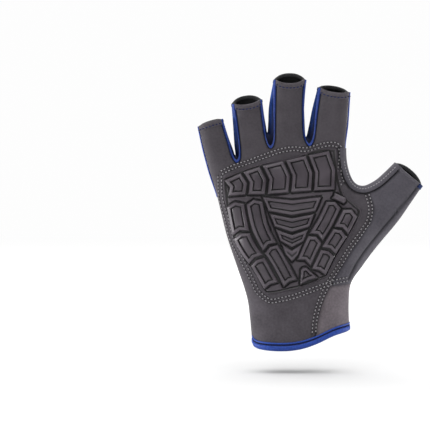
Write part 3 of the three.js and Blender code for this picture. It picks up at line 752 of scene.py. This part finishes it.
def block(line, widths, tips, low, high):
    """A block of a row, from cut low to cut high. Its point at share s across and t along lies on the
    row's line, aside by the width there, and ahead by the tip, most of all in the middle. It stands as
    high as the profile does at the distance from its nearest edge. Returns its points, its faces, how
    light each point is painted, with painted shade and painted highlight, and the straight parts of its
    edge."""
    length = run_along(evenly(line, np.linspace(0, 1, 60)))[-1]
    low, high = low + groove / 2 / length, high - groove / 2 / length
    width, tall = mix(*widths, (low + high) / 2), (high - low) * length
    profile = panel_profile if min(width, tall) > panel_least else bar_profile
    distances, heights = np.array(profile).T
    tall *= math.cos(math.atan(2 * mix(*tips, (low + high) / 2) / width))
    s, t = np.meshgrid(block_steps(distances, width), block_steps(distances, tall))
    at = mix(low, high, t)
    place = evenly(line, at.ravel()).reshape(*at.shape, 2)
    step = evenly(line, at.ravel() + nudge) - evenly(line, at.ravel() - nudge)
    way = (step / np.hypot(*step.T)[:, None]).reshape(*at.shape, 2)
    aside = ((s - 0.5) * mix(*widths, at))[..., None]
    ahead = (mix(*tips, at) * (1 - np.abs(2 * s - 1)))[..., None]
    grid = place + np.stack([way[..., 1], -way[..., 0]], -1) * aside + way * ahead
    inside = np.minimum(np.minimum(s, 1 - s) * mix(*widths, at), np.minimum(t, 1 - t) * tall)
    points, faces, _ = slab_of(grid, block_foot, np.interp(inside, distances, heights))
    painted_light = np.interp(inside, painted_light_at, painted_light_tone)
    rim = np.vstack([grid[0], grid[1:, -1], grid[-1, -2::-1], grid[-2::-1, 0]])
    return points, faces, np.tile(painted_light.ravel(), 2), straight_parts(rim)


def on_object(tree):
    """The place on the object itself, in metres."""
    return add(tree, "ShaderNodeTexCoord").outputs["Object"]


pad_rubber, tree, shader = new_material("moulded_rubber", 0.45, specular_ior_level=0.45)
grain, smear = (noise(tree, on_object(tree), size) for size in (1 / 2600, 1 / 90))
# The colour runs from near black, painted shade in the grooves, to a pale tone, a painted highlight on
# the ridges
tone = calculate(tree, "MULTIPLY", by_point(tree, "painted_light"), spread(tree, smear, 0.8, 1.2))
tree.links.new(blended(tree, tone, (0.0035, 0.003, 0.0037, 1), (0.130, 0.108, 0.131, 1)),
               shader.inputs["Base Color"])
tree.links.new(spread(tree, smear, 0.34, 0.46), shader.inputs["Roughness"])
add_relief(tree, shader, grain, 0.25, 0.0001)

parts = [block(line, widths, tips, low, high) for line, widths, tips, cuts in block_rows
         for low, high in zip(cuts[:-1], cuts[1:])]
# The sheet between the blocks: its rim is raised, and where blocks stand far apart it is filled up
pad_width, pad_height, sheet_foot = 90, 112, 0.1
rim_height, rim_width, rim_drop, filling = 1.5, 0.9, 0.8, 0.9
rim_tone, rim_tone_width, filled_tone = 0.5, 1.6, 0.42
clear_of_rim, clear_of_block, sheet_columns, sheet_rows = (2.2, 1.0), (0.7, 0.8), 120, 150
u, v = np.meshgrid(np.linspace(0, 1, sheet_columns + 1), np.linspace(0, 1, sheet_rows + 1))
sheet = on_pad(u, v)
from_rim = np.minimum(pad_width * np.minimum(u, 1 - u), pad_height * np.minimum(v, 1 - v))
_, from_block, _ = nearest(sheet.reshape(-1, 2), [edge for part in parts for edge in part[3]])
filled = eased(from_rim, *clear_of_rim) * eased(from_block.reshape(u.shape), *clear_of_block)
sheet_lift = (rim_height * np.sqrt(np.clip(from_rim / rim_width, 0.02, 1))
              - rim_drop * eased(from_rim, 1, 0.8) + filling * filled)
sheet_points, sheet_faces, _ = slab_of(sheet, sheet_foot, sheet_lift)
# Painted shade: the sheet is near black, except near its rim and where it is filled up
sheet_tone = np.maximum(rim_tone * (1 - smooth(from_rim / rim_tone_width)), filled_tone * filled)
parts.append((sheet_points, sheet_faces, np.tile(sheet_tone.ravel(), 2)))
start = np.cumsum([0] + [len(part[0]) for part in parts])
pad = make_piece("palm_pad_rubber", np.vstack([part[0] for part in parts]),
                 np.vstack([part[1] + first for first, part in zip(start, parts)]),
                 [pad_rubber], ["palm_pad"], crisp=22)
tones = pad.data.attributes.new("painted_light", "FLOAT", "POINT").data
tones.foreach_set("value", np.concatenate([part[2] for part in parts]).astype(np.float32))

# Turned hems of the finger fronts and the thumb
# Each front's end is folded over and sewn down, so it stands up as a band 4 mm wide with a rolled end.
# The thumb's is the same foam rubber cut narrower: a band of 2 mm.
end_taper = 4


def ring_faces(rings, sides):
    """The faces of a tube, each of its rings joined to the next, and its two end caps."""
    index = np.arange(rings * sides).reshape(rings, sides)
    turned = np.roll(index, -1, 1)
    faces = np.stack([index[:-1], turned[:-1], turned[1:], index[1:]], -1).reshape(-1, 4)
    return faces, (index[0, ::-1], index[-1])


def trim(name, edge, inward, profile, side, material, slot, replaces=(), from_seam=0.6,
         ends_thin=1.0, painted_shade=None):
    """A closed profile carried along an edge. Each profile point is a distance in from the edge and a
    height above the cloth, and inward is the direction that the distance is taken in. Over the end
    taper, what stands above the cloth or past the edge shrinks to the share ends_thin."""
    profile = np.asarray(profile, float)
    run = run_along(edge)
    share = mix(ends_thin, 1, smooth(np.minimum(run, run[-1] - run) / end_taper))[:, None, None]
    distance, height = profile[None, :, :1], profile[None, :, 1:]
    flat = edge[:, None] + inward[:, None] * np.where(distance < 0, distance * share, distance)
    base, out = worn(flat, side, from_seam)
    points = base + out * np.where(height > 0, height * share, height)
    rows, count = flat.shape[:2]
    faces, caps = ring_faces(rows, count)
    girth, length = run_along(profile), run_along(points[:, 0])
    cloth = np.stack(np.broadcast_arrays(girth[None], length[:, None]), -1).reshape(-1, 2)
    painted_shade = None if painted_shade is None else np.tile(np.asarray(painted_shade, float), rows)
    return make_piece(name, points.reshape(-1, 3), faces, [material], replaces, cloth=cloth,
                      caps=caps, painted_shade=painted_shade)


def digit_end(name, side):
    """The end row of a digit's strip, and the unit direction from it down the digit."""
    grid = strip(name, side)
    step = grid[-2] - grid[-1]
    return grid[-1], step / np.hypot(*step.T)[:, None]


hem_profile = [(4.3, 0.02), (4.1, 0.35), (3.6, 0.5), (2, 0.55), (0.7, 0.5), (-0.1, 0.2), (-0.5, -0.4),
               (-0.5, -1.3), (-0.1, -2.0), (0.7, -2.4), (2.5, -2.5), (2.5, -1.9), (2.6, -0.4)]
thumb_hem_profile = [(1.9, 0.02), (1.7, 0.2), (1.2, 0.3), (0.7, 0.3), *hem_profile[5:]]
for name in digits:
    profile, knit = (thumb_hem_profile, thumb_knit) if name == "thumb" else (hem_profile, palm_knit)
    trim("hem_" + name, *digit_end(name, "front"), profile, "front", knit, "palm_cloth",
         from_seam=seam_gap / 2, ends_thin=0.3)

# Rims of the back's digit ends
# A matt black tape is folded over the back's edge at every digit and sewn through, so the cut foam
# rubber doesn't show. It closes the end on the back's side, as the turned hem does on the palm's.
rim_tape = grained_cloth("black_tape", (0.008, 0.008, 0.009, 1), (0.022, 0.022, 0.024, 1), size=0.6,
                         relief=0.5, roughness=0.8, specular_ior_level=0.25)
rim_profile = [(2.2, 0.05), (2.1, 0.55), (1.6, 0.8), (0.6, 0.8), (-0.3, 0.55), (-0.8, -0.2),
               (-0.8, -1.4), (-0.3, -2.2), (0.6, -2.6), (2.0, -2.6), (2.1, -2.0), (1.6, -0.6)]
for name in digits:
    trim("rim_tape_" + name, *digit_end(name, "back"), rim_profile, "back", rim_tape, "rim_tape",
         ["rim_" + name], from_seam=seam_gap / 2, ends_thin=0.25)

# Hem round the thumb web
# From the thumb's tip round the web to the index finger, a strip of the thumb's knit is turned over
# the palm side's edge and topstitched in pale thread.
web_hem_profile = [(0, 0), (0, 0.7), (0.5, 1.05), (1.5, 1.2), (3, 1.2), (4.1, 1.0), (4.6, 0.55),
                   (4.7, -0.3)]
trim("thumb_crotch_hem_cloth", web_line, to_right(web_line), web_hem_profile, "front", thumb_knit,
     "palm_cloth", ["thumb_crotch_hem"])

# Piping and thumb tab
# A thin blue cord is caught in the seam on the outer side of the index finger and of the little finger,
# and sinks in at its lower end. A short navy tab is folded over the thumb's outer corner.
cord_radius, cord_sides, cord_forward, cord_girth = 0.58, 10, 0.4, 4
cord_sunk, cord_shown, cord_low, cord_rise = -0.35, 0.35, 2.2, 22


def cord_along(points):
    """A round cord along a line of points: rings of the cord's radius square to the line."""
    way = np.gradient(points, axis=0)
    way /= np.linalg.norm(way, axis=1)[:, None]
    across = np.cross(way, [0, 1, 0])
    across /= np.linalg.norm(across, axis=1)[:, None]
    over = np.cross(across, way)
    angle = np.linspace(0, 2 * np.pi, cord_sides, endpoint=False)[None, :, None]
    around = np.cos(angle) * across[:, None] + np.sin(angle) * over[:, None]
    faces, caps = ring_faces(len(points), cord_sides)
    return (points[:, None] + cord_radius * around).reshape(-1, 3), faces, caps


cord_blue = stretch_cloth("blue_cord", (0.012, 0.030, 0.20, 1), (0.030, 0.078, 0.42, 1))
for name, line in (("piping_index", stretch(outline["thumb_web"], 0, 2, 60)),
                   ("piping_little", stretch(outline["little_side"], 5, 8, 90))):
    base, out = worn(line, "front")
    height = line[:, 1]
    shown = mix(cord_sunk, cord_shown, eased(height, height.min() - cord_low, cord_rise))[:, None]
    points, faces, caps = cord_along(base + out * shown + np.array([0, -cord_forward, 0]))
    girth = np.tile(np.linspace(0, cord_girth, cord_sides), len(line))
    cloth = np.stack([girth, np.repeat(height, cord_sides)], -1)
    make_piece(name + "_cord", points, faces, [cord_blue], [name], cloth=cloth, caps=caps)
tab_line = stretch(outline["thumb_side"], 0.02, 0.34, 8)
tab_profile = [(0.1, -0.6), (0.1, 0.1), (0.6, 0.45), (2.0, 0.6), (3.4, 0.55), (3.8, -0.3)]
# Painted shade darkens the whole tab towards near black, more at its sides
trim("thumb_tab", tab_line, to_right(tab_line), tab_profile, "front", shaded_gusset_blue, "piping_cord",
     painted_shade=[0.9, 0.7, 0.55, 0.8, 0.75, 0.9])

# Cuff binding
# A blue tape is folded over the palm side of the cuff edge. A row of stitches sinks it in a groove
# near its upper edge, with a narrow strip above and a broad rolled strip below.
binding_cloth = stretch_cloth("blue_binding", (0.009, 0.034, 0.22, 1), (0.024, 0.086, 0.46, 1),
                              deep=(0.003, 0.009, 0.065, 1), sheen=0.12, gloss=0.3)
cuff_x = np.linspace(-37.9, 38.7, 150)
cuff_line = np.stack([cuff_x, edge_height(cuff_x, "front")], -1)
upward = np.tile([0.0, 1.0], (len(cuff_line), 1))
binding_profile = [(5.8, 0.0), (5.8, 0.7), (5.4, 1.1), (4.9, 1.1), (4.6, 0.7), (4.4, 0.3), (3.7, 0.3),
                   (3.5, 0.7), (3.1, 1.25), (2.0, 1.55), (0.8, 1.45), (-0.2, 0.9), (-0.8, -0.2),
                   (-0.8, -1.4), (-0.3, -2.3), (1.0, -2.8), (4.5, -2.8), (4.5, -2.1), (1.0, -1.6),
                   (0.6, -0.6)]
# Painted shade for each profile point: darkest in the stitched groove, and dark at the tape's edges and
# on its turned-under side
binding_shade = [0.6, 0.1, 0, 0, 0.6, 1, 1, 0.7, 0.15, 0.1, 0.2, 0.3, 0.5, 0.7, *[0.8] * 6]
trim("cuff_binding_tape", cuff_line, upward, binding_profile, "front", binding_cloth, "binding_tape",
     ["cuff_binding"], from_seam=seam_gap / 2, ends_thin=0.3, painted_shade=binding_shade)

# Stitching
# Twin rows of pale grey thread border the pad and follow the thumb seam down to the cuff, with a
# near-black mark from one stitch to the next, the painted shade of the needle hole. One row holds the
# web's hem. Each stitch is a short bridge of thread, and those in the finger hems and the cuff binding
# are navy.
stitch_sides, stitch_rise, to_neighbour = 6, 0.3, 0.3
ring_places = np.array([-0.5, -0.42, -0.2, 0.2, 0.42, 0.5])
ring_sizes = np.array([0.25, 0.8, 1, 1, 0.8, 0.25])


def stitch_row(line, spacing, length, lift=0.0, radius=0.32, first=0.5):
    """Bridges of thread along a flat line: each is a capsule of rings round its middle line, which
    rises from the cloth and falls again as a parabola does. The rings' places are shares of the
    stitch's length, and their sizes shares of its radius."""
    fine = stretch(line, 0, len(line) - 1, 40 * (len(line) - 1))
    run = run_along(worn(fine, "front")[0])
    at = np.arange(spacing * first, run[-1], spacing)
    flat, ahead, behind = (np.stack([np.interp(at + step, run, column) for column in fine.T], -1)
                           for step in (0, to_neighbour, -to_neighbour))
    centre, out = worn(flat, "front")
    way = worn(ahead, "front")[0] - worn(behind, "front")[0]
    way /= np.linalg.norm(way, axis=1)[:, None]
    across = np.cross(way, out)
    thick = radius * ring_sizes
    rise = stitch_rise * (1 - (2 * ring_places) ** 2)
    angle = np.linspace(0, 2 * np.pi, stitch_sides, endpoint=False)
    along = np.repeat(ring_places * length, stitch_sides)
    aside = np.outer(thick, np.cos(angle)).ravel()
    above = (np.outer(thick, np.sin(angle)) + rise[:, None]).ravel() + lift
    return (centre[:, None] + way[:, None] * along[None, :, None]
            + across[:, None] * aside[None, :, None] + out[:, None] * above[None, :, None])


def sew(name, rows, thread):
    """All the stitches of some rows as one mesh, their rings joined into capsules with flat ends."""
    points = np.vstack(rows)
    side_faces, (first_ring, last_ring) = ring_faces(len(ring_places), stitch_sides)
    ends = [[ring[0], *ring[part]] for ring in (np.roll(first_ring, 1), last_ring)
            for part in (slice(1, 4), slice(3, 6))]
    faces = np.vstack([side_faces, ends])
    faces = (faces[None] + points.shape[1] * np.arange(len(points))[:, None, None]).reshape(-1, 4)
    return make_piece(name, points.reshape(-1, 3), faces, [thread])


def thread_of(name, colour, light):
    """Twisted sewing thread: fine soft flecks of light over its colour."""
    material, tree, shader = new_material(name, 0.6, specular_ior_level=0.35)
    twist = noise(tree, on_object(tree), 1 / 1500, 2.0)
    tree.links.new(blended(tree, twist, colour, light), shader.inputs["Base Color"])
    return material


pale_thread = thread_of("pale_thread", (0.15, 0.142, 0.152, 1), (0.36, 0.345, 0.365, 1))
navy_thread = thread_of("navy_thread", (0.003, 0.005, 0.030, 1), (0.008, 0.014, 0.075, 1))
# Painted shade of the needle holes, made as dark thread
hole_shade = thread_of("needle_hole", (0.004, 0.004, 0.005, 1), (0.010, 0.010, 0.011, 1))
pitch = 2.8
rows, holes = [], []
for line in sewn_lines:
    rows.append(stitch_row(line, pitch, 1.45, radius=0.44))
    holes.append(stitch_row(line, pitch, 1.1, lift=-0.6, radius=0.52, first=0))
web_row = beside(stretch(outline["thumb_web"], 2.6, 7.8, 30), 2.9)
rows.append(stitch_row(web_row, 2.4, 1.5, lift=1.4, radius=0.4))
sew("pale_stitches", rows, pale_thread)
sew("needle_hole_shade", holes, hole_shade)
hem_row, groove_row = 3.3, 3.95
rows = []
for name in ("little", "ring", "middle", "index"):
    end, down = digit_end(name, "front")
    rows.append(stitch_row((end + down * hem_row)[1:-1:3], pitch, 1.8, lift=0.55, radius=0.5))
rows.append(stitch_row((cuff_line + upward * groove_row)[2:-2:6], 2.0, 1.4, lift=0.5))
sew("navy_stitches", rows, navy_thread)

# Floor, light and camera
# A plain pale floor in a white studio. A wide soft box hangs above the glove, narrow ones stand at its
# sides and a weak one in front, and the camera stands level with the palm, as in the photograph.
floor_z, floor_reach = -0.027, 6.0
corner = np.array([[-1, -1], [1, -1], [1, 1], [-1, 1]]) * floor_reach
mesh = bpy.data.meshes.new("floor")
mesh.from_pydata(np.insert(corner, 2, floor_z, 1).tolist(), [], [(0, 1, 2, 3)])
paper, tree, shader = new_material("pale_paper", 0.95, specular_ior_level=0.0,
                                   base_color=(0.71, 0.71, 0.71, 1), emission_color=(1, 1, 1, 1))
# Far from the glove the paper glows, so that it passes into the white behind it
near, far, near_glow, far_glow = 0.3, 1.6, 0.13, 0.935
from_glove = add(tree, "ShaderNodeVectorMath", {0: on_object(tree)}, operation="LENGTH").outputs["Value"]
glow = between(tree, from_glove, near, far, near_glow, far_glow)
tree.links.new(glow, shader.inputs["Emission Strength"])
mesh.materials.append(paper)
floor = bpy.data.objects.new("floor", mesh)
bpy.context.scene.collection.objects.link(floor)


def soft_box(name, place, aim, size, power):
    """A rectangular lamp at a place, turned to face a point."""
    lamp = bpy.data.lights.new(name, "AREA")
    lamp.shape, lamp.size, lamp.size_y, lamp.energy = "RECTANGLE", *size, power
    made = bpy.data.objects.new(name, lamp)
    bpy.context.scene.collection.objects.link(made)
    way = np.array(aim) - np.array(place)
    made.location = place
    made.rotation_euler = (math.acos(-way[2] / np.linalg.norm(way)), 0,
                           math.atan2(way[1], way[0]) - math.pi / 2)


middle, low_middle = (0, 0, 0.1), (0, 0, 0.09)
soft_box("soft_box_above", (0, 0, 1.35), middle, (2.4, 2.2), 42)
soft_box("soft_box_left", (-1.2, -0.12, 0.09), low_middle, (0.9, 0.2), 14)
soft_box("soft_box_right", (1.2, -0.05, 0.09), low_middle, (0.9, 0.2), 9.5)
soft_box("soft_box_front", (-0.5, -1.7, 0.9), middle, (0.9, 0.9), 1.5)
# The studio's walls look white but give only a little light
wall_light, wall_white = 0.06, 1.0
world = bpy.data.worlds.new("studio")
world.use_nodes = True
sky = world.node_tree.nodes["Background"]
sky.inputs["Color"].default_value = (0.985, 0.985, 0.985, 1)
tree = world.node_tree
seen = add(tree, "ShaderNodeLightPath").outputs["Is Camera Ray"]
tree.links.new(between(tree, seen, 0, 1, wall_light, wall_white), sky.inputs["Strength"])
bpy.context.scene.world = world
bpy.context.scene.view_settings.view_transform = "Standard"

distance, near_face, view_width, sensor = 1.0, 0.008, 0.3354, 36
camera = bpy.data.objects.new("camera", bpy.data.cameras.new("camera"))
bpy.context.scene.collection.objects.link(camera)
camera.location = (-0.067, -distance, 0.096)
camera.rotation_euler = (math.pi / 2, 0, 0)
camera.data.sensor_width = sensor
camera.data.lens = sensor * (distance - near_face) / view_width
bpy.context.scene.camera = camera
